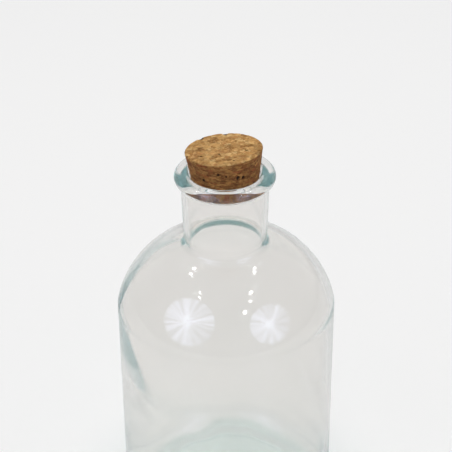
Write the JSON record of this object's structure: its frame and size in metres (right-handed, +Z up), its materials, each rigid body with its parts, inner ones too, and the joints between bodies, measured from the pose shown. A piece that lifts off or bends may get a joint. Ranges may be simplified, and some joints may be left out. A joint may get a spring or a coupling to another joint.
{
  "type": "glass bottle with cork stopper",
  "caption": "Round clear glass bottle with a domed shoulder, straight narrow neck, rounded mouth ring and a tapered cork stopper pushed into the mouth.",
  "frame": {"origin": "centre of the bottle's base, on the plane it rests on", "axes": "+Z up along the bottle's axis, -Y towards the side seen from the front, +X to the right"},
  "size_m": [0.11, 0.11, 0.2103],
  "materials": {
    "glass": "clear, faint green-blue",
    "cork": "agglomerated cork, dull"
  },
  "bodies": {
    "root": {"glass_bottle": "glass", "cork_stopper": "cork"}
  },
  "joints": []
}
